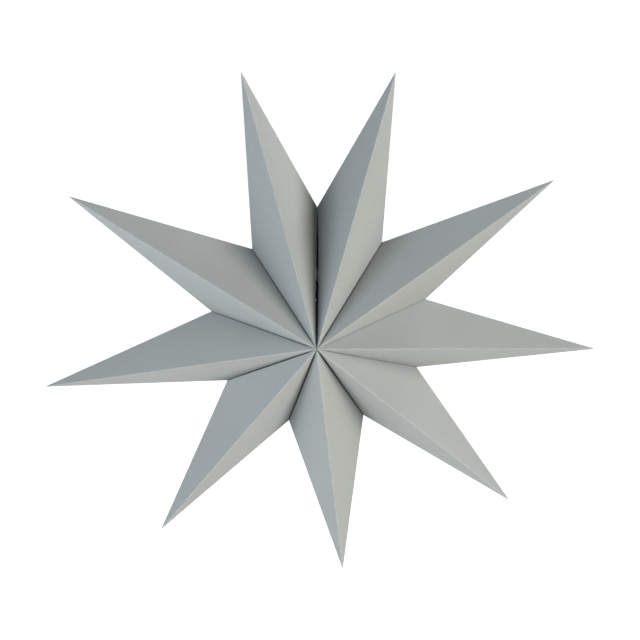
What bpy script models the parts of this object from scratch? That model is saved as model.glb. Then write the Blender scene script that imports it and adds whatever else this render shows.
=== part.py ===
import math

import bmesh
import bpy
from mathutils import Matrix, Vector

# Driving dimensions of the star, in metres. All edges of its outline pass the axis at edgeDistance,
# which lets the star fold flat and sets how deep each valley cuts in
tipRadius = 0.150
edgeDistance = 0.0315
halfDepth = 0.031

# Degrees from tip to tip across each valley, clockwise from the seam as seen from the front
valleySpreads = (40.5, 39.5, 39.5, 39.0, 40.0, 41.5, 44.0, 45.0)
fullCircle = 360.0

# Card
cardThickness = 0.00035
creaseGap = 0.0003
poleRelief = 0.003
tipRelief = 0.001
openEdgeTrim = 0.0004

# Seam tabs, creased inwards along the valley edges of the first and last ray
tabWidth = 0.010
tabEndTaper = 0.009
frontTabTopInset = 0.003
backTabTopInset = 0.017
tabPoleInset = 0.012

# Hanging hole through both front seam tabs, below the notch of the seam
holeDrop = 0.013
holeRadius = 0.00125
holeSides = 24

# Hook and loop pads between the tabs
padRadius = 0.004
padThickness = 0.0005
padSeatGap = 0.0001
padMeetingGap = 0.0003
padAlongShare = 0.55
padSides = 32

# How far a blank reaches past its finished edges before it is trimmed
blankMargin = 0.002

# Values that follow from the sizes above
rayCount = len(valleySpreads) + 1
rootRay = (rayCount + 1) // 2
seamSpread = fullCircle - sum(valleySpreads)
seamHalfGap = padSeatGap + padThickness + padMeetingGap / 2

cardColour = (0.40, 0.42, 0.42)
tabColour = (0.42, 0.44, 0.44)
hookColour = (0.72, 0.72, 0.70)
loopColour = (0.66, 0.67, 0.66)


# Scene and materials

def clearScene():
    for obj in list(bpy.data.objects):
        bpy.data.objects.remove(obj)


def makeMaterial(name, colour, roughness):
    material = bpy.data.materials.new(name)
    material.use_nodes = True
    shader = material.node_tree.nodes["Principled BSDF"]
    shader.inputs["Base Color"].default_value = (*colour, 1.0)
    shader.inputs["Roughness"].default_value = roughness
    shader.inputs["Metallic"].default_value = 0.0
    return material


# Corners of the star, about its centre, with the seam's notch straight up and the front pole at -Y
# Rays count clockwise from the seam as seen from the front
# Side is 1 for right and -1 for left, face 1 for front and -1 for back

def onCircle(radius, angle):
    return Vector((radius * math.sin(angle), 0.0, radius * math.cos(angle)))


def polePoint(face):
    return Vector((0.0, -face * halfDepth, 0.0))


def tipAngle(number):
    return math.radians(seamSpread / 2 + sum(valleySpreads[:number - 1]))


def tipPoint(number):
    return onCircle(tipRadius, tipAngle(number))


def isSeam(number, side):
    return (number == 1 and side < 0) or (number == rayCount and side > 0)


# Angle from a ray's tip to the valley beside it
def valleyTurn(number, side):
    if isSeam(number, side):
        return math.radians(seamSpread / 2)
    return math.radians(valleySpreads[number - 1 if side > 0 else number - 2] / 2)


# Where the edges of two neighbouring tips meet, this far round from either of them
def valleyRadius(turn):
    return edgeDistance / math.cos(math.acos(edgeDistance / tipRadius) - turn)


def valleyPoint(number, side):
    turn = valleyTurn(number, side)
    return onCircle(valleyRadius(turn), tipAngle(number) + side * turn)


def seamValleyRadius():
    return valleyRadius(valleyTurn(1, -1))


# The hanging hole is the origin of the whole part
def starCentre():
    return Vector((0.0, 0.0, holeDrop - seamValleyRadius()))


def panelNormal(number, side, face):
    pole = polePoint(face)
    normal = (tipPoint(number) - pole).cross(valleyPoint(number, side) - pole).normalized()
    if normal.y * face > 0.0:
        normal.negate()
    return normal


# Seam face of a tab, pointing out of its ray
def tabNormal(side):
    return Vector((side, 0.0, 0.0))


# Creases

# Where two planes through the origin meet once each is moved along its normal
def offsetMeeting(normal, offset, otherNormal, otherOffset):
    shared = normal.dot(otherNormal)
    spread = 1.0 - shared * shared
    first = (offset - shared * otherOffset) / spread
    second = (otherOffset - shared * offset) / spread
    return normal * first + otherNormal * second


# Ridge creases fold shut on the inner faces, midway across the gap that folded card keeps
def ridgeHinge(number, face):
    inset = -(cardThickness + creaseGap / 2)
    shift = offsetMeeting(panelNormal(number, 1, face), inset, panelNormal(number, -1, face), inset)
    return polePoint(face) + shift, tipPoint(number) - polePoint(face)


def nextRay(number, side):
    return (number - 1 + side) % rayCount + 1


# Valley creases fold shut on the outer faces
def valleyHinge(number, side, face):
    proud = creaseGap / 2
    neighbour = nextRay(number, side)
    shift = offsetMeeting(panelNormal(number, side, face), proud, panelNormal(neighbour, -side, face), proud)
    return polePoint(face) + shift, valleyPoint(number, side) - polePoint(face)


# Edge creases open flat about the outer surface
def edgeHinge(number, side):
    return valleyPoint(number, side), tipPoint(number) - valleyPoint(number, side)


# A tab's crease is where the panel's outer surface meets the tab's seam face
def tabHinge(number, side, face):
    shift = offsetMeeting(panelNormal(number, side, face), 0.0, tabNormal(side), -seamHalfGap)
    return polePoint(face) + shift, valleyPoint(number, side) - polePoint(face)


# The crease that carries a panel, which holds the origin of its object
def panelHinge(number, side, face):
    if face < 0:
        return edgeHinge(number, side) if side > 0 else ridgeHinge(number, face)
    nearSide = -1 if number > rootRay else 1
    if number != rootRay and side == nearSide:
        return valleyHinge(number, side, face)
    return ridgeHinge(number, face)


# Blanks and cuts

def prism(outline, normal, thickness):
    bm = bmesh.new()
    face = bm.faces.new([bm.verts.new(point) for point in outline])
    face.normal_update()
    if face.normal.dot(normal) < 0.0:
        face.normal_flip()
    grown = bmesh.ops.extrude_face_region(bm, geom=[face])
    moved = [item for item in grown["geom"] if isinstance(item, bmesh.types.BMVert)]
    bmesh.ops.translate(bm, verts=moved, vec=-normal * thickness)
    bmesh.ops.recalc_face_normals(bm, faces=bm.faces)
    return bm


# Removes what lies on the normal's side of a plane and closes the cut
def trim(bm, point, normal):
    everything = bm.verts[:] + bm.edges[:] + bm.faces[:]
    bmesh.ops.bisect_plane(bm, geom=everything, plane_co=point, plane_no=normal, clear_outer=True)
    rim = [edge for edge in bm.edges if edge.is_boundary]
    if rim:
        bmesh.ops.contextual_create(bm, geom=rim)
    bmesh.ops.recalc_face_normals(bm, faces=bm.faces)


# Mitres a piece against its neighbour across a crease, leaving half the crease gap
def trimCrease(bm, point, normal, otherNormal, keep):
    outwards = (normal - otherNormal).normalized()
    if outwards.dot(keep - point) > 0.0:
        outwards.negate()
    trim(bm, point - outwards * creaseGap / 2, outwards)


# A corner cut square across its own bisector
def trimCorner(bm, corner, first, second, relief):
    inward = ((first - corner).normalized() + (second - corner).normalized()).normalized()
    trim(bm, corner + inward * relief, -inward)


def spread(outline, reach):
    centre = sum(outline, Vector()) / len(outline)
    return [centre + (point - centre) * (1.0 + reach / min((p - centre).length for p in outline)) for point in outline]


def finishMesh(bm, name, origin):
    bmesh.ops.translate(bm, verts=bm.verts, vec=-origin)
    bmesh.ops.recalc_face_normals(bm, faces=bm.faces)
    mesh = bpy.data.meshes.new(name)
    bm.to_mesh(mesh)
    bm.free()
    return mesh


# Panels

def panelSolid(number, side, face):
    pole = polePoint(face)
    tip = tipPoint(number)
    valley = valleyPoint(number, side)
    normal = panelNormal(number, side, face)
    bm = prism(spread([pole, tip, valley], blankMargin), normal, cardThickness)
    trimCrease(bm, pole, normal, panelNormal(number, -side, face), valley)
    if isSeam(number, side):
        trimCrease(bm, tabHinge(number, side, face)[0], normal, tabNormal(side), tip)
    else:
        trimCrease(bm, pole, normal, panelNormal(nextRay(number, side), -side, face), tip)
    trimCrease(bm, tip, normal, panelNormal(number, side, -face), pole)
    if face < 0 and side < 0:
        trimOpenEdge(bm, tip, valley, pole, normal)
    trimCorner(bm, pole, tip, valley, poleRelief)
    trimCorner(bm, tip, pole, valley, tipRelief)
    return bm


# The left edge of the back isn't creased to the front, so it is cut back a little more from the tip to the valley
def trimOpenEdge(bm, tip, valley, pole, normal):
    edge = valley - tip
    inwards = edge.cross(normal).normalized()
    if inwards.dot(pole - tip) < 0.0:
        inwards.negate()
    outwards = (edge + inwards * openEdgeTrim).cross(normal).normalized()
    if outwards.dot(pole - tip) > 0.0:
        outwards.negate()
    trim(bm, tip, outwards)


# Seam tabs

# Point of a tab's seam face, measured along its crease from the valley and square to the crease into the star
def tabPoint(number, side, face, along, across):
    start, direction = tabHinge(number, side, face)
    inward = Vector((0.0, face, 0.0))
    inward = (inward - inward.project(direction)).normalized()
    return start + direction - direction.normalized() * along + inward * across


def tabTopInset(face):
    return frontTabTopInset if face > 0 else backTabTopInset


def tabBottom():
    return math.hypot(seamValleyRadius(), halfDepth) - tabPoleInset


def tabSolid(number, side, face):
    top = tabTopInset(face)
    bottom = tabBottom()
    outline = [
        tabPoint(number, side, face, top, -blankMargin),
        tabPoint(number, side, face, top, 0.0),
        tabPoint(number, side, face, top + tabEndTaper, tabWidth),
        tabPoint(number, side, face, bottom - tabEndTaper, tabWidth),
        tabPoint(number, side, face, bottom, 0.0),
        tabPoint(number, side, face, bottom, -blankMargin),
    ]
    bm = prism(outline, tabNormal(side), cardThickness)
    hinge = tabHinge(number, side, face)[0]
    trimCrease(bm, hinge, tabNormal(side), panelNormal(number, side, face), outline[2])
    return bm


def cylinderAlong(centre, axis, radius, length, sides):
    bm = bmesh.new()
    bmesh.ops.create_cone(bm, cap_ends=True, segments=sides, radius1=radius, radius2=radius, depth=length)
    turn = Vector((0.0, 0.0, 1.0)).rotation_difference(axis).to_matrix().to_4x4()
    bmesh.ops.transform(bm, matrix=Matrix.Translation(centre) @ turn, verts=bm.verts)
    return bm


# A pad sits on its tab's seam face
def padSolid(number, side, face):
    middle = tabTopInset(face) + (tabBottom() - tabTopInset(face)) * padAlongShare
    seat = tabPoint(number, side, face, middle, tabWidth / 2)
    centre = seat + tabNormal(side) * (padSeatGap + padThickness / 2)
    return cylinderAlong(centre, tabNormal(side), padRadius, padThickness, padSides)


# Objects

def addPiece(name, bm, parent, origin, material):
    mesh = finishMesh(bm, name, origin)
    mesh.materials.append(material)
    obj = bpy.data.objects.new(name, mesh)
    obj.parent = parent
    obj.location = origin
    bpy.context.scene.collection.objects.link(obj)
    return obj


# Cuts the hanging hole through a front tab, at the origin of the whole part
def cutHangingHole(tab, side):
    bm = cylinderAlong(Vector(), Vector((1.0, 0.0, 0.0)), holeRadius, blankMargin, holeSides)
    mesh = finishMesh(bm, tab.name + "_hole_cutter", Vector())
    cutter = bpy.data.objects.new(mesh.name, mesh)
    cutter.hide_render = True
    cutter.display_type = "WIRE"
    cutter.location = Vector((-side * (seamHalfGap + cardThickness / 2), 0.0, 0.0))
    bpy.context.scene.collection.objects.link(cutter)
    cut = tab.modifiers.new("hanging hole", "BOOLEAN")
    cut.operation = "DIFFERENCE"
    cut.solver = "EXACT"
    cut.object = cutter


def pieceName(number, face, ending):
    return "ray_{}_{}_{}".format(number, "front" if face > 0 else "back", ending)


def addPanels(centre, material):
    for number in range(1, rayCount + 1):
        for face in (1, -1):
            for side, ending in ((-1, "left"), (1, "right")):
                origin = panelHinge(number, side, face)[0]
                addPiece(pieceName(number, face, ending), panelSolid(number, side, face), centre, origin, material)


def addSeamSide(centre, number, side, padEnding, tabMaterial, padMaterial):
    for face in (1, -1):
        origin = tabHinge(number, side, face)[0]
        tab = addPiece(pieceName(number, face, "seam_tab"), tabSolid(number, side, face), centre, origin, tabMaterial)
        if face > 0:
            cutHangingHole(tab, side)
        addPiece(pieceName(number, face, padEnding), padSolid(number, side, face), centre, origin, padMaterial)


def main():
    clearScene()
    centre = bpy.data.objects.new("star_centre", None)
    centre.location = starCentre()
    bpy.context.scene.collection.objects.link(centre)
    addPanels(centre, makeMaterial("grey card", cardColour, 0.8))
    tabMaterial = makeMaterial("tab card", tabColour, 0.8)
    addSeamSide(centre, 1, -1, "hook_pad", tabMaterial, makeMaterial("hook tape", hookColour, 0.9))
    addSeamSide(centre, rayCount, 1, "loop_pad", tabMaterial, makeMaterial("loop tape", loopColour, 0.95))
    bpy.context.view_layer.update()


main()
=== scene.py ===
import math
import random

import bmesh
import bpy
from mathutils import Matrix, Vector


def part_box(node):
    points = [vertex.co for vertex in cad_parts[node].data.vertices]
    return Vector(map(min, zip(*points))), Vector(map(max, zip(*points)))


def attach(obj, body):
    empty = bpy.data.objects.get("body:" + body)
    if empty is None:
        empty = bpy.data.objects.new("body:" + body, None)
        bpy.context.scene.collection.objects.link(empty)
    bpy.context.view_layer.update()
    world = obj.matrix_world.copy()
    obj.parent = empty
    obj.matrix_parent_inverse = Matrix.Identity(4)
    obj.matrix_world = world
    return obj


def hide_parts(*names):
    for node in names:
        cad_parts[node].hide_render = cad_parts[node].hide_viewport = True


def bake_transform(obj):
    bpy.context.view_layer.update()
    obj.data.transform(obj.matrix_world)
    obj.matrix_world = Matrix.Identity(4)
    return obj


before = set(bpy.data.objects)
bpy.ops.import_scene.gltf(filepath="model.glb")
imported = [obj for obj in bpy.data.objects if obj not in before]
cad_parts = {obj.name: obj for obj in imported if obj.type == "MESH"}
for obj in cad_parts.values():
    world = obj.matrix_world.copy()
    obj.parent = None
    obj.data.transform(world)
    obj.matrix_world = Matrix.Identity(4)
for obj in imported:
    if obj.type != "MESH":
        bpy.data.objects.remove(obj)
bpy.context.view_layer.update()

# The star, in metres and degrees
# Rays count clockwise from the seam at the top, as seen from the front

star = {
    "tipRadius": 0.150,
    "edgeDistance": 0.0315,  # from the axis to every edge of the outline
    "halfDepth": 0.031,
    # from tip to tip, and the seam takes the rest
    "spreads": (40.5, 39.5, 39.5, 39.0, 40.0, 41.5, 44.0, 45.0),
    "holeDrop": 0.013,       # from the seam's notch down to the hanging hole, which is the origin
}
rayCount = len(star["spreads"]) + 1
seamSpread = 360.0 - sum(star["spreads"])


def isSeam(ray, side):
    return (ray == 1 and side < 0) or (ray == rayCount and side > 0)


def valleyNumber(ray, side):
    return ray % rayCount if side > 0 else ray - 1


def tipAngle(ray):
    return math.radians(seamSpread / 2 + sum(star["spreads"][:ray - 1]))


def valleyTurn(ray, side):
    # from a ray's tip to the valley on its left, side -1, or on its right, side 1
    spread = seamSpread if isSeam(ray, side) else star["spreads"][valleyNumber(ray, side) - 1]
    return math.radians(spread / 2)


def valleyRadius(turn):
    tipToEdge = math.acos(star["edgeDistance"] / star["tipRadius"])
    return star["edgeDistance"] / math.cos(tipToEdge - turn)


notchRadius = valleyRadius(valleyTurn(1, -1))
starCentre = Vector((0.0, 0.0, star["holeDrop"] - notchRadius))


# Small helpers for work in edit mode

samePlace = 1e-6    # points nearer than this are one
onLine = 2e-6       # and a point nearer than this to a line is on it

# of the plane that each panel and tab starts as
planeCorners = [Vector((-1, -1, 0)), Vector((1, -1, 0)), Vector((1, 1, 0)), Vector((-1, 1, 0))]


def deselectAll():
    if bpy.context.object and bpy.context.object.mode != "OBJECT":
        bpy.ops.object.mode_set(mode="OBJECT")
    bpy.ops.object.select_all(action="DESELECT")


def takeUp(piece):
    deselectAll()
    piece.select_set(True)
    bpy.context.view_layer.objects.active = piece


def editMesh(piece, kind="VERT"):
    takeUp(piece)
    bpy.ops.object.mode_set(mode="EDIT")
    bpy.ops.mesh.select_mode(type=kind)
    bpy.ops.mesh.select_all(action="DESELECT")


def closeEdit():
    bpy.ops.object.mode_set(mode="OBJECT")


def pickPlaces(piece, places):
    bpy.ops.mesh.select_mode(type="VERT")
    bpy.ops.mesh.select_all(action="DESELECT")
    work = bmesh.from_edit_mesh(piece.data)
    for vert in work.verts:
        vert.select_set(any((vert.co - place).length < samePlace for place in places))
    work.select_flush_mode()
    bmesh.update_edit_mesh(piece.data)


def pickEdges(piece, test):
    bpy.ops.mesh.select_mode(type="EDGE")
    bpy.ops.mesh.select_all(action="DESELECT")
    work = bmesh.from_edit_mesh(piece.data)
    for edge in work.edges:
        edge.select_set(test(edge.verts[0].co, edge.verts[1].co))
    bmesh.update_edit_mesh(piece.data)


def movePlace(piece, old, new):
    pickPlaces(piece, [old])
    bpy.ops.transform.translate(value=new - old)


def extrudeTo(piece, olds, news, step=Vector((0.0, 0.0, 1.0))):
    pickPlaces(piece, olds)
    bpy.ops.mesh.extrude_region_move(TRANSFORM_OT_translate={"value": step})
    for old, new in zip(olds, news):
        movePlace(piece, old + step, new)


def applyModifier(piece, modifier):
    takeUp(piece)
    bpy.ops.object.modifier_apply(modifier=modifier.name)


def awayFromLine(place, start, direction):
    reach = place - start
    return (reach - reach.project(direction)).length


def onStretch(place, start, end):
    along = (end - start).normalized()
    reach = (place - start).dot(along)
    within = -onLine < reach < (end - start).length + onLine
    return within and awayFromLine(place, start, along) < onLine


# Cards: one for the front and one for the back of each ray, creased along its ridge

blank = {
    "thickness": 0.00035,
    "poleCut": 0.00035,                # the corner at the pole is cut off this far along the ridge
    "tipCut": 0.0009,
    "rows": (0.0030, 0.0060, 0.035, 0.060),    # rows of the mesh, along the ridge from the pole
    "rowShares": (0.3, 0.6, 0.8, 1.0, 1.0, 0.2),  # of the widths below, from the pole to the tip
    "cutsBetweenRows": (1, 1, 8, 6, 11),
    "cutsAcross": 6,
    "ridgeRound": 0.00055,             # width of the rounded crease on either side of the ridge
    "ridgeCap": 0.2,                   # and at most this share of the row
    "ridgeBevel": 92,                  # percent
    "ridgeSteps": 4,
    "bendShare": 0.75,                 # of the rounded crease
    "lip": 0.00042,                    # width of the rounded lip at a valley
    "lipCap": 0.12,
    "lipBevel": 72,                    # percent
    "lipSteps": 3,
    "outlineInset": 0.00007,
    "knifeShare": 0.04,                # of the thickness, left at the mitred outline
    "leastFacing": 0.1,                # how edge on a normal may be when the mitre is worked out
    "bow": 0.00045,
    "bowPeak": 27,                     # makes the bow whole at the middle of a panel
    "rollWidths": (0.0013, 0.0034),    # a column, and where the card begins to turn into a valley
    "rollCaps": (0.28, 0.5),
    "rollDepth": 0.00012,
    "seamRollDepth": 0.00024,
    "rollFade": 0.012,                 # from the outline
}

# The valleys, the seam first and then clockwise
valleys = {
    # half of each gap, and its share at each row, last where the valley meets the outline
    "slits": (0.00070, 0.00024, 0.00007, 0.00010, 0.00039, 0.00031, 0.00038, 0.00020, 0.00023),
    "slitShares": (0.02, 0.03, 1.0, 0.9, 0.55),
    "seamSlitShares": (0.02, 0.03, 0.45, 1.15, 0.5),
    "paintedShadeRow": 3,         # the painted shade starts from the gap at this row
    "closedBack": 0.00001,  # half of each gap at the back, which is drawn shut
    # how far the card turns into the valley and how dark its painted shade is, on the ray before it
    # and on the ray after it
    "turnAndShadeBefore": (1.1, 0.0, 0.0, 0.18, 0.60, 0.50, 0.0, 0.0, 0.52),
    "turnAndShadeAfter": (0.57, 0.52, 0.0, 0.14, 0.70, 0.90, 0.65, 0.22, 0.0),
    # how dark the painted shade is on the back cards, as a share of the front's
    "backPaintedShadeShare": 0.6,
    # width of the painted shade beside a valley, as a share of the way from the pole
    "paintedShadeShares": (0.25, 0.22, 0.13, 0.13, 0.13, 0.13, 0.13, 0.13, 0.22),
    "paintedShadeWidest": 0.015,
}


def panelLines(ray, side):
    # pole, tip and valley corner of one front panel, with its ray pointing straight up
    pole = Vector((0.0, -star["halfDepth"], 0.0))
    tip = Vector((0.0, 0.0, star["tipRadius"]))
    turn = valleyTurn(ray, side)
    valley = Vector((side * math.sin(turn), 0.0, math.cos(turn))) * valleyRadius(turn)
    return pole, tip, valley


def slitHalves(ray, side, back):
    shares = valleys["seamSlitShares" if isSeam(ray, side) else "slitShares"]
    if back:
        return [valleys["closedBack"] for share in shares]
    return [valleys["slits"][valleyNumber(ray, side)] * share for share in shares]


def panelRows(ray, side, back):
    pole, tip, valley = panelLines(ray, side)
    ridge = (tip - pole).normalized()
    edge = (valley - pole).normalized()
    inward = (ridge - ridge.project(edge)).normalized()
    outline = (tip - valley).normalized()
    shift = (pole - tip) - (pole - tip).project(outline)
    shift = shift.normalized() * blank["outlineInset"]
    slit = slitHalves(ray, side, back)
    reaches = (blank["poleCut"],) + blank["rows"]
    nears = [pole + ridge * reach for reach in reaches] + [tip - ridge * blank["tipCut"]]
    fars = [pole + edge * reach + inward * half for reach, half in zip(reaches[:-1], slit)]
    # the valley corner slides along the outline so that it stays on it
    fars.append(valley + outline * (slit[-1] - shift.dot(inward)) / outline.dot(inward) + shift)
    fars.append(tip - outline * blank["tipCut"] + shift)
    rows = []
    for near, far, share in zip(nears, fars, blank["rowShares"]):
        across = (far - near).normalized()
        width = (far - near).length
        fold = min(blank["ridgeRound"] * share, width * blank["ridgeCap"])
        lip = min(blank["lip"] * share, width * blank["lipCap"])
        widths = zip(blank["rollWidths"], blank["rollCaps"])
        rolls = [min(roll, width * cap) for roll, cap in widths]
        insets = (rolls[1], rolls[0], lip, 0.0)
        rows.append([near, near + across * fold] + [far - across * inset for inset in insets])
    return rows


def buildPanel(name, ray, side, back):
    rows = panelRows(ray, side, back)
    deselectAll()
    bpy.ops.mesh.primitive_plane_add(size=2.0)
    panel = bpy.context.object
    panel.name = name
    editMesh(panel)
    for old, new in zip(planeCorners, (rows[0][0], rows[0][1], rows[1][1], rows[1][0])):
        movePlace(panel, old, new)
    for column in range(2, len(rows[0])):
        olds = [rows[0][column - 1], rows[1][column - 1]]
        extrudeTo(panel, olds, [rows[0][column], rows[1][column]])
    for row in range(2, len(rows)):
        extrudeTo(panel, rows[row - 1], rows[row])

    def columnOf(place):
        near = [(place - point).length for points in rows for point in points]
        return near.index(min(near)) % len(rows[0])

    def isAcross(first, second):
        return sorted((columnOf(first), columnOf(second))) == [1, 2]

    def onRow(place, row):
        return awayFromLine(place, rows[row][0], rows[row][-1] - rows[row][0]) < samePlace

    # across first, while every corner is still where the rows put it
    pickEdges(panel, isAcross)
    bpy.ops.mesh.subdivide(number_cuts=blank["cutsAcross"])
    for row, cuts in enumerate(blank["cutsBetweenRows"]):

        def climbs(first, second):
            upwards = onRow(first, row) and onRow(second, row + 1)
            return upwards or (onRow(second, row) and onRow(first, row + 1))

        pickEdges(panel, climbs)
        bpy.ops.mesh.subdivide(number_cuts=cuts)
    closeEdit()
    lips = [points[-1] for points in rows[:-1]]
    group = panel.vertex_groups.new(name="lip")
    for vert in panel.data.vertices:
        if any(onStretch(vert.co, foot, head) for foot, head in zip(lips, lips[1:])):
            group.add([vert.index], 1.0, "REPLACE")
    return panel


def displace(panel, name, strength, shareAt):
    if strength == 0.0:
        return
    group = panel.vertex_groups.new(name=name)
    for vert in panel.data.vertices:
        group.add([vert.index], shareAt(vert.co), "REPLACE")
    move = panel.modifiers.new(name, "DISPLACE")
    move.vertex_group = name
    move.mid_level = 0.0
    move.strength = strength
    applyModifier(panel, move)


def creaseDistances(ray, side, place):
    # how far a point lies from the ridge, the valley and the outline of its panel
    pole, tip, valley = panelLines(ray, side)
    fromRidge = awayFromLine(place, pole, tip - pole)
    fromValley = awayFromLine(place, pole, valley - pole)
    return fromRidge, fromValley, awayFromLine(place, tip, valley - tip)


def turnAndShadeOf(ray, side):
    return valleys["turnAndShadeBefore" if side > 0 else "turnAndShadeAfter"][valleyNumber(ray, side)]


def bowPanel(panel, ray, side, back):
    # a hair of bow, the same way round the star, so that the folded rays still nest
    pole, tip, valley = panelLines(ray, side)
    whole = (tip - pole).cross(valley - pole).length

    def bowAt(place):
        fromTip = (valley - place).cross(pole - place).length / whole
        fromPole = (tip - place).cross(valley - place).length / whole
        fromValley = (pole - place).cross(tip - place).length / whole
        return min(1.0, blank["bowPeak"] * fromTip * fromPole * fromValley)

    def rollAt(place):
        fromRidge, fromValley, fromOutline = creaseDistances(ray, side, place)
        widest = blank["rollWidths"][-1]
        width = min(widest, (fromRidge + fromValley) / 2)
        depth = max(0.0, 1.0 - fromValley / width) ** 2 * width / widest
        return depth * min(1.0, fromOutline / blank["rollFade"])

    displace(panel, "bow", blank["bow"] * side, bowAt)
    if not back:
        depth = blank["seamRollDepth"] if isSeam(ray, side) else blank["rollDepth"]
        displace(panel, "roll", -depth * min(1.0, turnAndShadeOf(ray, side)), rollAt)


def faceTowards(piece, way):
    editMesh(piece)
    bpy.ops.mesh.select_all(action="SELECT")
    bpy.ops.mesh.normals_make_consistent(inside=False)
    closeEdit()
    if sum(face.normal.dot(way) * face.area for face in piece.data.polygons) < 0.0:
        editMesh(piece)
        bpy.ops.mesh.select_all(action="SELECT")
        bpy.ops.mesh.flip_normals()
        closeEdit()


def buildCard(name, ray, back):
    panels = []
    for side in (-1, 1):
        panel = buildPanel(name, ray, side, back)
        faceTowards(panel, Vector((0.0, -1.0, 0.0)))
        bowPanel(panel, ray, side, back)
        panels.append(panel)
    takeUp(panels[0])
    panels[1].select_set(True)
    bpy.ops.object.join()
    piece = bpy.context.object
    editMesh(piece)
    bpy.ops.mesh.select_all(action="SELECT")
    bpy.ops.mesh.remove_doubles(threshold=samePlace)
    closeEdit()
    thinOutline(piece)
    outerCount = len(piece.data.vertices)
    wall = piece.modifiers.new("card", "SOLIDIFY")
    wall.thickness = blank["thickness"]
    wall.offset = -1.0
    wall.use_even_offset = True
    wall.vertex_group = "wall"
    applyModifier(piece, wall)
    editMesh(piece)
    mitreLips(piece, ray, outerCount)
    roundCreases(piece, ray, outerCount)
    closeEdit()
    markDistances(piece, ray, back)
    return piece


def thinOutline(piece):
    # the card thins to a mitre at the outline, where the front and the back of the ray meet
    group = piece.vertex_groups.new(name="wall")
    for vert in piece.data.vertices:
        facing = max(abs(vert.normal.y), blank["leastFacing"])
        depth = (-blank["outlineInset"] / 2 - vert.co.y) / facing
        share = min(1.0, max(blank["knifeShare"], depth / blank["thickness"]))
        group.add([vert.index], share, "REPLACE")


def mitreLips(piece, ray, outerCount):
    # the edge of the card turns to lie along the middle of the valley, so that no light shows
    wall = piece.vertex_groups["wall"].index
    shares = {}
    for vert in piece.data.vertices:
        for mark in vert.groups:
            if mark.group == wall:
                shares[vert.index] = round(mark.weight, 3)
    for side in (-1, 1):
        pole, tip, valley = panelLines(ray, side)
        edge = (valley - pole).normalized()
        inward = ((tip - pole) - (tip - pole).project(edge)).normalized()
        face = (tip - pole).cross(valley - pole).normalized()
        middle = edge.cross(Vector((0.0, 1.0, 0.0))).normalized()
        reach = blank["thickness"] * abs(face.dot(middle) / inward.dot(middle))
        for share in sorted(set(shares.values())):

            def isInnerLip(vert):
                onSide = vert.index >= outerCount and vert.co.x * side > 0.0
                return onSide and shares[vert.index] == share

            pickLips(piece, isInnerLip)
            bpy.ops.transform.translate(value=-inward * reach * share)


def roundCreases(piece, ray, outerCount):
    # the wall puts a copy behind each corner of the outer face, and numbers the copies last
    pickLips(piece, lambda vert: vert.index < outerCount)
    bevelByShare(blank["lipBevel"], blank["lipSteps"])
    pole, tip = panelLines(ray, 1)[:2]

    def onRidge(first, second):
        return max(awayFromLine(place, pole, tip - pole) for place in (first, second)) < onLine

    pickEdges(piece, onRidge)
    bevelByShare(blank["ridgeBevel"], blank["ridgeSteps"])


def bevelByShare(percent, steps):
    bpy.ops.mesh.bevel(
        offset_type="PERCENT",
        offset_pct=percent,
        segments=steps,
        clamp_overlap=False,
    )


def pickLips(piece, test):
    bpy.ops.mesh.select_mode(type="VERT")
    bpy.ops.mesh.select_all(action="DESELECT")
    work = bmesh.from_edit_mesh(piece.data)
    marks = work.verts.layers.deform.active
    lip = piece.vertex_groups["lip"].index
    for vert in work.verts:
        vert.select_set(lip in vert[marks] and test(vert))
    work.select_flush_mode()
    bmesh.update_edit_mesh(piece.data)
    bpy.ops.mesh.select_mode(type="EDGE")


def markDistances(piece, ray, back):
    # for the card's material: distances from the creases, and the painted shade beside its valley,
    # where the card turns in
    distances = piece.data.attributes.new("fromCreases", "FLOAT_VECTOR", "POINT")
    paintedShadeMarks = piece.data.attributes.new("valleyTurn", "FLOAT_VECTOR", "POINT")
    for vert in piece.data.vertices:
        side = 1 if vert.co.x > 0.0 else -1
        found = creaseDistances(ray, side, vert.co)
        distances.data[vert.index].vector = found
        pole, _, valley = panelLines(ray, side)
        along = (vert.co - pole).dot((valley - pole).normalized())
        # painted shade beside the valley: its width, how far in from the gap a point is, and how
        # dark
        share = valleys["paintedShadeShares"][valleyNumber(ray, side)]
        width = min(valleys["paintedShadeWidest"], max(share * along, blank["lip"]))
        inset = max(0.0, found[1] - slitHalves(ray, side, back)[valleys["paintedShadeRow"]])
        strength = turnAndShadeOf(ray, side) * (valleys["backPaintedShadeShare"] if back else 1.0)
        paintedShadeMarks.data[vert.index].vector = (min(1.0, inset / width), strength, 0.0)


def settle(piece, move):
    takeUp(piece)
    piece.matrix_world = move @ piece.matrix_world
    bpy.ops.object.transform_apply(location=True, rotation=True, scale=True)
    editMesh(piece)
    bpy.ops.mesh.select_all(action="SELECT")
    bpy.ops.mesh.normals_make_consistent(inside=False)
    closeEdit()


def copyOf(piece, name):
    twin = piece.copy()
    twin.data = piece.data.copy()
    twin.name = name
    twin.data.name = name
    bpy.context.scene.collection.objects.link(twin)
    return twin


# Card finish, with painted shade beside the valleys

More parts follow.
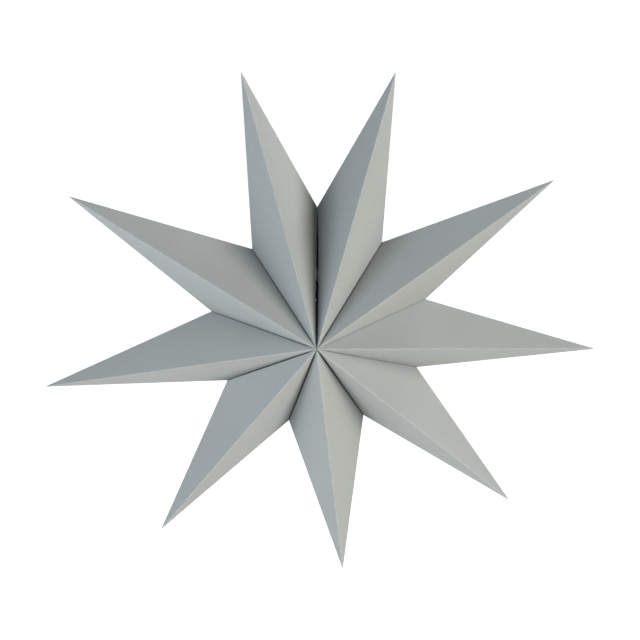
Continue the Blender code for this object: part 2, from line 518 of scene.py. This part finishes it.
card = {
    "light": (0.440, 0.453, 0.447),
    "dark": (0.414, 0.428, 0.423),
    "worn": (0.60, 0.61, 0.60),
    "paintedShade": (0.045, 0.055, 0.050),   # painted shade, where the card turns into a valley
    "paintedShadeCurve": 1.4,
    "mottleScale": 38.0,
    "fibreScale": 700.0,
    "streakScales": (260.0, 260.0, 2200.0),
    "toneShares": (0.25, 0.45, 0.3),  # of mottle, fibre and streak
    "toneRange": (0.36, 0.64),
    "breakUpScale": 420.0,
    "breakUp": (0.30, 0.62, 0.35, 1.0),
    "ridgeWear": (0.00022, 0.00080, 0.55, 0.0),  # from and to, and how worn the card is at each
    "outlineWear": (0.0001, 0.0005, 0.2, 0.0),
    "roughness": 0.78,
    "specular": 0.25,
    "bump": 0.35,
    "bumpHeight": 0.00008,
    "bumpShares": (0.7, 0.3),         # of fibre and streak
    "smoothAngle": 28,
}


def nodeMaker(material):
    tree = material.node_tree

    def add(kind, **settings):
        node = tree.nodes.new(kind)
        for key, value in settings.items():
            setattr(node, key, value)
        return node

    def link(source, target):
        tree.links.new(source, target)

    return add, link


def noise(add, link, vector, scale, detail=3.0, roughness=0.55):
    node = add("ShaderNodeTexNoise")
    node.inputs["Scale"].default_value = scale
    node.inputs["Detail"].default_value = detail
    node.inputs["Roughness"].default_value = roughness
    link(vector, node.inputs["Vector"])
    return node.outputs["Fac"]


def ramp(add, link, value, low, high, start=0.0, end=1.0):
    node = add("ShaderNodeMapRange", interpolation_type="SMOOTHSTEP")
    node.inputs["From Min"].default_value = low
    node.inputs["From Max"].default_value = high
    node.inputs["To Min"].default_value = start
    node.inputs["To Max"].default_value = end
    link(value, node.inputs["Value"])
    return node.outputs["Result"]


def reckon(add, link, operation, first, second):
    node = add("ShaderNodeMath", operation=operation)
    for number, value in enumerate((first, second)):
        if isinstance(value, (int, float)):
            node.inputs[number].default_value = value
        else:
            link(value, node.inputs[number])
    return node.outputs["Value"]


def times(add, link, first, second):
    return reckon(add, link, "MULTIPLY", first, second)


def plus(add, link, first, second):
    return reckon(add, link, "ADD", first, second)


def power(add, link, value, exponent):
    return reckon(add, link, "POWER", value, exponent)


def mixColour(add, link, share, first, second):
    node = add("ShaderNodeMix", data_type="RGBA")
    link(share, node.inputs["Factor"])
    # a Mix node has its colours at 6 and 7, and the mixed one at 2
    for socket, value in ((node.inputs[6], first), (node.inputs[7], second)):
        if isinstance(value, tuple):
            socket.default_value = (*value, 1.0)
        else:
            link(value, socket)
    return node.outputs[2]


def cardMaterial(name, creased):
    material = bpy.data.materials.new(name)
    material.use_nodes = True
    shader = material.node_tree.nodes["Principled BSDF"]
    add, link = nodeMaker(material)
    where = add("ShaderNodeTexCoord").outputs["Object"]
    mottle = noise(add, link, where, card["mottleScale"], 4.0)
    fibre = noise(add, link, where, card["fibreScale"], 3.0, 0.6)
    stretch = add("ShaderNodeMapping")
    stretch.inputs["Scale"].default_value = card["streakScales"]
    link(where, stretch.inputs["Vector"])
    streak = noise(add, link, stretch.outputs["Vector"], 1.0, 2.0)
    ofMottle, ofFibre, ofStreak = card["toneShares"]
    tone = plus(add, link, times(add, link, mottle, ofMottle), times(add, link, fibre, ofFibre))
    tone = plus(add, link, tone, times(add, link, streak, ofStreak))
    lightness = ramp(add, link, tone, *card["toneRange"])
    colour = mixColour(add, link, lightness, card["dark"], card["light"])
    if creased:
        marks = add("ShaderNodeAttribute", attribute_name="fromCreases")
        parts = add("ShaderNodeSeparateXYZ")
        link(marks.outputs["Vector"], parts.inputs["Vector"])
        fromRidge, _, fromOutline = parts.outputs
        patches = noise(add, link, where, card["breakUpScale"], 2.0)
        breakUp = ramp(add, link, patches, *card["breakUp"])
        crease = times(add, link, ramp(add, link, fromRidge, *card["ridgeWear"]), breakUp)
        colour = mixColour(add, link, crease, colour, card["worn"])
        rim = times(add, link, ramp(add, link, fromOutline, *card["outlineWear"]), breakUp)
        colour = mixColour(add, link, rim, colour, card["worn"])
    # painted shade: the colour darkens towards each valley and towards a seam tab's outer edge, in
    # place of the shade there
    paintedShadeAttribute = add("ShaderNodeAttribute", attribute_name="valleyTurn")
    paintedShadeMarks = add("ShaderNodeSeparateXYZ")
    link(paintedShadeAttribute.outputs["Vector"], paintedShadeMarks.inputs["Vector"])
    away, strength = paintedShadeMarks.outputs[0], paintedShadeMarks.outputs[1]
    nearness = plus(add, link, 1.0, times(add, link, away, -1.0))
    near = power(add, link, nearness, card["paintedShadeCurve"])
    paintedShade = times(add, link, near, strength)
    paintedShade.node.use_clamp = True
    colour = mixColour(add, link, paintedShade, colour, card["paintedShade"])
    link(colour, shader.inputs["Base Color"])
    shader.inputs["Roughness"].default_value = card["roughness"]
    shader.inputs["Specular IOR Level"].default_value = card["specular"]
    byFibre, byStreak = card["bumpShares"]
    height = plus(add, link, times(add, link, fibre, byFibre), times(add, link, streak, byStreak))
    bump = add("ShaderNodeBump")
    bump.inputs["Strength"].default_value = card["bump"]
    bump.inputs["Distance"].default_value = card["bumpHeight"]
    link(height, bump.inputs["Height"])
    link(bump.outputs["Normal"], shader.inputs["Normal"])
    return material


def finishPiece(piece, material):
    piece.data.materials.clear()
    piece.data.materials.append(material)
    takeUp(piece)
    bpy.ops.object.shade_smooth_by_angle(angle=math.radians(card["smoothAngle"]))


creasedCard = cardMaterial("creasedCard", True)
tabCard = cardMaterial("tabCard", False)


def layOutCards():
    place = Matrix.Translation(starCentre)
    mirror = Matrix.Scale(-1.0, 4, Vector((0.0, 1.0, 0.0)))
    for ray in range(1, rayCount + 1):
        turn = Matrix.Rotation(tipAngle(ray), 4, "Y")
        for face, back in (("front", False), ("back", True)):
            piece = buildCard("ray_{}_{}_card".format(ray, face), ray, back)
            settle(piece, place @ turn @ mirror if back else place @ turn)
            finishPiece(piece, creasedCard)
            left = "ray_{}_{}_left".format(ray, face)
            right = "ray_{}_{}_right".format(ray, face)
            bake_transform(piece)
            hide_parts(left, right)
        print("ray", ray, "faces", len(piece.data.polygons))


layOutCards()


# Seam tabs: the card turned in behind the seam, where the two sides of the star meet

seamTab = {
    "width": 0.010,
    "topInset": {"front": 0.003, "back": 0.017},  # from the notch, along the crease
    "poleInset": 0.012,
    "endTaper": 0.009,
    "halfGap": 0.00075,
    "crease": 0.00007,       # how much further out the crease stands than the rest of the tab
    "creaseDepth": 0.0016,   # and how far in the tab has turned straight
    "bendShare": 1.5,        # of that depth
    "seat": 0.00005,         # between the card of the ray and the edge of its tab
    "cornerRound": 0.003,
    "cornerSteps": 5,
    "holeRadius": 0.00125,
    "holeSides": 40,
    "rim": 0.00007,
    "rimAngle": 50,
    "cutsAlong": 15,
    # painted shade on the tab: how far in from its outer edge it fades out, and how dark it is
    "paintedShadeDepth": 0.006,
    "paintedShade": 1.15,
}


def seamLines(side, face):
    # pole, notch, the way into the star square to the seam's crease, and the fall of the card there
    toFace = -1.0 if face == "front" else 1.0
    pole = Vector((0.0, toFace * star["halfDepth"], 0.0))
    notch = Vector((0.0, 0.0, notchRadius))
    crease = (notch - pole).normalized()
    inward = Vector((0.0, -toFace, 0.0))
    inward = (inward - inward.project(crease)).normalized()
    ray = rayCount if side > 0 else 1
    angle = tipAngle(ray)
    tip = Vector((math.sin(angle), 0.0, math.cos(angle))) * star["tipRadius"]
    normal = (tip - pole).cross(notch - pole).normalized()
    return pole, notch, inward, abs(normal.x / normal.dot(inward))


def seamPlace(side, face, along, out, deep):
    pole, notch, inward = seamLines(side, face)[:3]
    crease = (notch - pole).normalized()
    return starCentre + notch - crease * along + inward * deep + Vector((-side * out, 0.0, 0.0))


def buildTab(side, face):
    pole, notch, inward, fall = seamLines(side, face)
    width, taper = seamTab["width"], seamTab["endTaper"]
    hinge = -seamTab["halfGap"] * fall
    edgeOut = seamTab["halfGap"] + seamTab["crease"]
    inner = blank["thickness"] * math.hypot(1.0, fall)
    edgeDeep = inner - edgeOut * fall + seamTab["seat"]
    top = seamTab["topInset"][face]
    bottom = (notch - pole).length - seamTab["poleInset"]
    rows = []
    for out, deep in (
        (edgeOut, edgeDeep),
        (seamTab["halfGap"], seamTab["creaseDepth"]),
        (seamTab["halfGap"], width / 2),
        (seamTab["halfGap"], hinge + width),
    ):
        inset = taper * (deep - hinge) / width
        ends = (top + inset, bottom - inset)
        rows.append([seamPlace(side, face, along, out, deep) for along in ends])
    deselectAll()
    bpy.ops.mesh.primitive_plane_add(size=2.0)
    tab = bpy.context.object
    tab.name = "ray_{}_{}_flap".format(rayCount if side > 0 else 1, face)
    editMesh(tab)
    for old, new in zip(planeCorners, (rows[0][0], rows[0][1], rows[1][1], rows[1][0])):
        movePlace(tab, old, new)
    for row in (2, 3):
        extrudeTo(tab, rows[row - 1], rows[row])

    def isEnd(end, places):
        return any((place - end).length < samePlace for place in places)

    def runsAlong(first, second):
        return any(all(isEnd(end, (first, second)) for end in row) for row in rows)

    pickEdges(tab, runsAlong)
    bpy.ops.mesh.subdivide(number_cuts=seamTab["cutsAlong"])
    pickPlaces(tab, rows[3])
    bpy.ops.mesh.bevel(
        affect="VERTICES",
        offset=seamTab["cornerRound"],
        segments=seamTab["cornerSteps"],
    )
    closeEdit()
    faceTowards(tab, Vector((side, 0.0, 0.0)))
    wall = tab.modifiers.new("card", "SOLIDIFY")
    wall.thickness = blank["thickness"]
    wall.offset = -1.0
    applyModifier(tab, wall)
    if face == "front":
        punchHole(tab, side)
    rim = tab.modifiers.new("rim", "BEVEL")
    rim.width = seamTab["rim"]
    rim.segments = 2
    rim.limit_method = "ANGLE"
    rim.angle_limit = math.radians(seamTab["rimAngle"])
    applyModifier(tab, rim)
    # painted shade, darkest at the tab's outer edge, where it lies in the seam's gap
    paintedShadeMarks = tab.data.attributes.new("valleyTurn", "FLOAT_VECTOR", "POINT")
    for vert in tab.data.vertices:
        deep = (vert.co - seamPlace(side, face, 0.0, 0.0, edgeDeep)).dot(inward)
        away = min(1.0, max(0.0, deep / seamTab["paintedShadeDepth"]))
        paintedShadeMarks.data[vert.index].vector = (away, seamTab["paintedShade"], 0.0)
    return tab


def punchHole(tab, side):
    # the hanging hole runs along X through the origin
    deselectAll()
    bpy.ops.mesh.primitive_cylinder_add(
        vertices=seamTab["holeSides"],
        radius=seamTab["holeRadius"],
        depth=4 * blank["thickness"],
        location=(-side * (seamTab["halfGap"] + blank["thickness"] / 2), 0.0, 0.0),
        rotation=(0.0, math.pi / 2, 0.0),
    )
    punch = bpy.context.object
    hole = tab.modifiers.new("hole", "BOOLEAN")
    hole.operation = "DIFFERENCE"
    hole.solver = "EXACT"
    hole.object = punch
    applyModifier(tab, hole)
    bpy.data.objects.remove(punch)


def layOutTabs():
    for side in (-1, 1):
        ray = rayCount if side > 0 else 1
        for face in ("front", "back"):
            tab = buildTab(side, face)
            finishPiece(tab, tabCard)
            body = "ray_{}_{}_seam_tab".format(ray, face)
            start = seamPlace(side, face, 0.0, 0.0, 0.0)
            end = seamPlace(side, face, 0.0, 0.0, seamTab["bendShare"] * seamTab["creaseDepth"])
            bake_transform(tab)
            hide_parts(body)
    print("tabs laid out")


layOutTabs()


# Pads, which hold the seam shut: a disc of hook tape on the tabs of one side and of loop tape on
# those of the other

pad = {
    "radius": 0.004,
    "base": 0.00022,
    "baseSides": 56,
    "rim": 0.00005,
    "glue": 0.000005,
    "thread": 0.00008,
    "threadSteps": 6,
    "fieldRadius": 0.0036,
    "spacing": 0.0006,
    "stalk": 0.00020,
    "hookRadius": 0.00011,
    "hookSpin": 205,
    "loopRadius": 0.00017,
    "loopSpin": 180,
    "loopCount": 170,
    "loopTurn": 2.4,           # from one loop to the next, about the golden angle, in radians
    "loopLean": 35,
    "loopSizes": (0.85, 1.4),
    "seed": 5,
}


def spunThread(name, stalk, radius, turn):
    # a nylon thread: straight up for the stalk, then round in a hook or an arch
    deselectAll()
    bpy.ops.mesh.primitive_plane_add(size=pad["thread"])
    thread = bpy.context.object
    thread.name = name
    editMesh(thread, "FACE")
    bpy.ops.mesh.select_all(action="SELECT")
    if stalk > 0.0:
        bpy.ops.mesh.extrude_region_move(TRANSFORM_OT_translate={"value": (0.0, 0.0, stalk)})
    bpy.ops.mesh.spin(
        steps=pad["threadSteps"],
        angle=math.radians(turn),
        center=(radius, 0.0, stalk),
        axis=(0.0, 1.0, 0.0),
    )
    bpy.ops.mesh.select_all(action="SELECT")
    bpy.ops.mesh.normals_make_consistent(inside=False)
    closeEdit()
    return thread


def padBase(name):
    deselectAll()
    bpy.ops.mesh.primitive_cylinder_add(
        vertices=pad["baseSides"],
        radius=pad["radius"],
        depth=pad["base"],
        location=(0.0, 0.0, pad["base"] / 2),
    )
    base = bpy.context.object
    base.name = name
    bpy.ops.object.transform_apply(location=True, rotation=True, scale=True)
    editMesh(base, "EDGE")

    pickEdges(base, lambda first, second: abs(first.z - second.z) < samePlace)
    bpy.ops.mesh.bevel(offset=pad["rim"], segments=2)
    closeEdit()
    return base


def gather(base, thread, moves):
    # copies of one thread stand on the base, each a little in it
    copies = [copyOf(thread, thread.name) for move in moves]
    for twin, move in zip(copies, moves):
        rise = Matrix.Translation((0.0, 0.0, pad["base"] - pad["thread"] / 4))
        twin.data.transform(rise @ move)
    bpy.data.objects.remove(thread)
    takeUp(base)
    for twin in copies:
        twin.select_set(True)
    bpy.ops.object.join()
    return base


def buildHookPad():
    moves = []
    reach = int(pad["fieldRadius"] / pad["spacing"]) + 1
    for row in range(-reach, reach + 1):
        for place in range(-reach, reach + 1):
            spot = Vector((place + row % 2 / 2, row * math.sqrt(0.75), 0.0)) * pad["spacing"]
            if spot.length < pad["fieldRadius"]:
                turn = Matrix.Rotation(math.pi * (row % 2), 4, "Z")
                moves.append(Matrix.Translation(spot) @ turn)
    hook = spunThread("hook", pad["stalk"], pad["hookRadius"], pad["hookSpin"])
    return gather(padBase("hookPad"), hook, moves)


def buildLoopPad():
    chance = random.Random(pad["seed"])
    moves = []
    for number in range(pad["loopCount"]):
        # spread evenly in a spiral, then shaken
        far = pad["fieldRadius"] * math.sqrt((number + 0.5) / pad["loopCount"])
        angle = pad["loopTurn"] * number
        spot = Vector((math.cos(angle), math.sin(angle), 0.0)) * far
        leanBy = chance.uniform(-pad["loopLean"], pad["loopLean"])
        lean = Matrix.Rotation(math.radians(leanBy), 4, "X")
        turn = Matrix.Rotation(chance.uniform(0, 2 * math.pi), 4, "Z")
        grow = Matrix.Scale(chance.uniform(*pad["loopSizes"]), 4)
        moves.append(Matrix.Translation(spot) @ turn @ lean @ grow)
    loop = spunThread("loop", 0.0, pad["loopRadius"], pad["loopSpin"])
    return gather(padBase("loopPad"), loop, moves)


nylon = {
    "hooks": {
        "light": (0.74, 0.74, 0.72),
        "dark": (0.60, 0.60, 0.58),
        "roughness": 0.42,
        "sheen": 0.0,
    },
    "loops": {
        "light": (0.68, 0.69, 0.68),
        "dark": (0.50, 0.51, 0.50),
        "roughness": 0.62,
        "sheen": 0.35,
    },
    "weaveScale": 620.0,
    "weaveWobble": 0.6,
    "fuzzScale": 2600.0,
    "toneShares": (0.5, 0.5),    # of weave and fuzz
    "toneRange": (0.2, 0.7),
    "bump": 0.5,
    "bumpHeight": 0.00005,
}


def nylonMaterial(name, kind):
    material = bpy.data.materials.new(name)
    material.use_nodes = True
    shader = material.node_tree.nodes["Principled BSDF"]
    add, link = nodeMaker(material)
    where = add("ShaderNodeTexCoord").outputs["Object"]
    bands = []
    for direction in ("Y", "Z"):
        wave = add("ShaderNodeTexWave", wave_type="BANDS", bands_direction=direction)
        wave.inputs["Scale"].default_value = nylon["weaveScale"]
        wave.inputs["Distortion"].default_value = nylon["weaveWobble"]
        link(where, wave.inputs["Vector"])
        bands.append(wave.outputs["Fac"])
    weave = times(add, link, bands[0], bands[1])
    fuzz = noise(add, link, where, nylon["fuzzScale"], 2.0)
    ofWeave, ofFuzz = nylon["toneShares"]
    tone = plus(add, link, times(add, link, weave, ofWeave), times(add, link, fuzz, ofFuzz))
    finish = nylon[kind]
    lightness = ramp(add, link, tone, *nylon["toneRange"])
    colour = mixColour(add, link, lightness, finish["dark"], finish["light"])
    link(colour, shader.inputs["Base Color"])
    shader.inputs["Roughness"].default_value = finish["roughness"]
    shader.inputs["Sheen Weight"].default_value = finish["sheen"]
    bump = add("ShaderNodeBump")
    bump.inputs["Strength"].default_value = nylon["bump"]
    bump.inputs["Distance"].default_value = nylon["bumpHeight"]
    link(tone, bump.inputs["Height"])
    link(bump.outputs["Normal"], shader.inputs["Normal"])
    return material


def layOutPads():
    for side, kind, master in ((-1, "hook", buildHookPad()), (1, "loop", buildLoopPad())):
        material = nylonMaterial(kind + "Nylon", kind + "s")
        ray = rayCount if side > 0 else 1
        for face in ("front", "back"):
            node = "ray_{}_{}_{}_pad".format(ray, face, kind)
            low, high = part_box(node)
            piece = copyOf(master, "ray_{}_{}_{}s".format(ray, face, kind))
            out = -side * (seamTab["halfGap"] - pad["glue"])
            seat = Vector((out, (low[1] + high[1]) / 2, (low[2] + high[2]) / 2))
            turn = Matrix.Rotation(side * math.pi / 2, 4, "Y")
            piece.data.transform(Matrix.Translation(seat) @ turn)
            finishPiece(piece, material)
            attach(piece, "ray_{}_{}_seam_tab".format(ray, face))
            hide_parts(node)
        print(kind, "pads faces", len(master.data.polygons))
        bpy.data.objects.remove(master)


layOutPads()


# Camera, lamps and floor

view = {
    "distance": 2.0,
    "azimuth": -0.9,
    "elevation": 25.3,
    "roll": 0.5,
    "pixelsPerMetre": 1880.0,
    "imageWidth": 640.0,
    "sensor": 36.0,
    "farthest": 50.0,
    "aim": (0.0020, 0.0009, 0.0019),
}


def wayTo(azimuth, elevation):
    # from the star, in degrees: azimuth 0 is the front and 90 is its right
    azimuth, elevation = math.radians(azimuth), math.radians(elevation)
    flat = math.cos(elevation)
    return Vector((math.sin(azimuth) * flat, -math.cos(azimuth) * flat, math.sin(elevation)))


def addCamera():
    roll = math.radians(view["roll"])
    back = wayTo(view["azimuth"], view["elevation"])
    level = (-back).cross(Vector((0.0, 0.0, 1.0))).normalized()
    upright = level.cross(-back)
    right = level * math.cos(roll) + upright * math.sin(roll)
    up = upright * math.cos(roll) - level * math.sin(roll)
    bpy.ops.object.camera_add()
    camera = bpy.context.object
    camera.name = "camera"
    camera.data.sensor_width = view["sensor"]
    seenWidth = view["imageWidth"] / view["pixelsPerMetre"]
    camera.data.lens = view["sensor"] * view["distance"] / seenWidth
    camera.data.clip_end = view["farthest"]
    turn = Matrix((right, up, back)).transposed().to_4x4()
    stand = starCentre + Vector(view["aim"]) + back * view["distance"]
    camera.matrix_world = Matrix.Translation(stand) @ turn
    bpy.context.scene.camera = camera


lampDistance = 1.6
lampSize = 1.2
lamps = {    # azimuth, elevation, power and colour
    "lampUpperRight": (50, 30, 17.5, (1.0, 0.97, 0.87)),
    "lampLowerRight": (45, -45, 14.2, (1.0, 0.87, 0.71)),
    "lampLeft": (-70, -10, 16.0, (0.91, 0.98, 1.0)),
    "lampBackRight": (140, 35, 21.0, (1.0, 0.97, 0.88)),
    "lampBackLeft": (-140, -15, 10.0, (0.92, 0.98, 1.0)),
}
room = {
    "world": (0.13, 0.18, 0.235),
    "floorDrop": 1.25,
    "floorSize": 12.0,
    "floorRoughness": 0.9,
    "floorColour": (0.85, 0.85, 0.85),
    "floorGlow": (0.92, 0.90, 0.88),
}


def addLamps():
    for name, (azimuth, elevation, power, colour) in lamps.items():
        way = wayTo(azimuth, elevation)
        bpy.ops.object.light_add(type="AREA", location=starCentre + way * lampDistance)
        light = bpy.context.object
        light.name = name
        light.rotation_mode = "QUATERNION"
        light.rotation_quaternion = way.to_track_quat("Z", "Y")
        light.data.shape = "DISK"
        light.data.size = lampSize
        light.data.energy = power
        light.data.color = colour
        light.visible_camera = False


def seenShare(tree):
    # 1 for what the camera sees, also in gloss and through glass, and 0 for light on the star
    path = tree.nodes.new("ShaderNodeLightPath")
    share = path.outputs["Is Camera Ray"]
    for name in ("Is Glossy Ray", "Is Transmission Ray"):
        higher = tree.nodes.new("ShaderNodeMath")
        higher.operation = "MAXIMUM"
        tree.links.new(share, higher.inputs[0])
        tree.links.new(path.outputs[name], higher.inputs[1])
        share = higher.outputs["Value"]
    return share


def addRoom():
    world = bpy.data.worlds.new("studio")
    bpy.context.scene.world = world
    world.use_nodes = True
    tree = world.node_tree
    back = tree.nodes["Background"]
    back.inputs["Color"].default_value = (*room["world"], 1.0)
    back.inputs["Strength"].default_value = 1.0
    white = tree.nodes.new("ShaderNodeBackground")
    white.inputs["Color"].default_value = (1.0, 1.0, 1.0, 1.0)
    mix = tree.nodes.new("ShaderNodeMixShader")
    tree.links.new(seenShare(tree), mix.inputs["Fac"])
    tree.links.new(back.outputs["Background"], mix.inputs[1])
    tree.links.new(white.outputs["Background"], mix.inputs[2])
    tree.links.new(mix.outputs["Shader"], tree.nodes["World Output"].inputs["Surface"])

    deselectAll()
    height = starCentre.z - room["floorDrop"]
    bpy.ops.mesh.primitive_plane_add(size=room["floorSize"], location=(0.0, 0.0, height))
    floor = bpy.context.object
    floor.name = "floor"
    material = bpy.data.materials.new("paleFloor")
    material.use_nodes = True
    shader = material.node_tree.nodes["Principled BSDF"]
    shader.inputs["Base Color"].default_value = (*room["floorColour"], 1.0)
    shader.inputs["Roughness"].default_value = room["floorRoughness"]
    shader.inputs["Emission Color"].default_value = (*room["floorGlow"], 1.0)
    share = seenShare(material.node_tree)
    material.node_tree.links.new(share, shader.inputs["Emission Strength"])
    floor.data.materials.append(material)


addCamera()
addLamps()
addRoom()
bpy.context.scene.view_settings.view_transform = "Standard"
print("camera, lamps and floor set")

print("done")
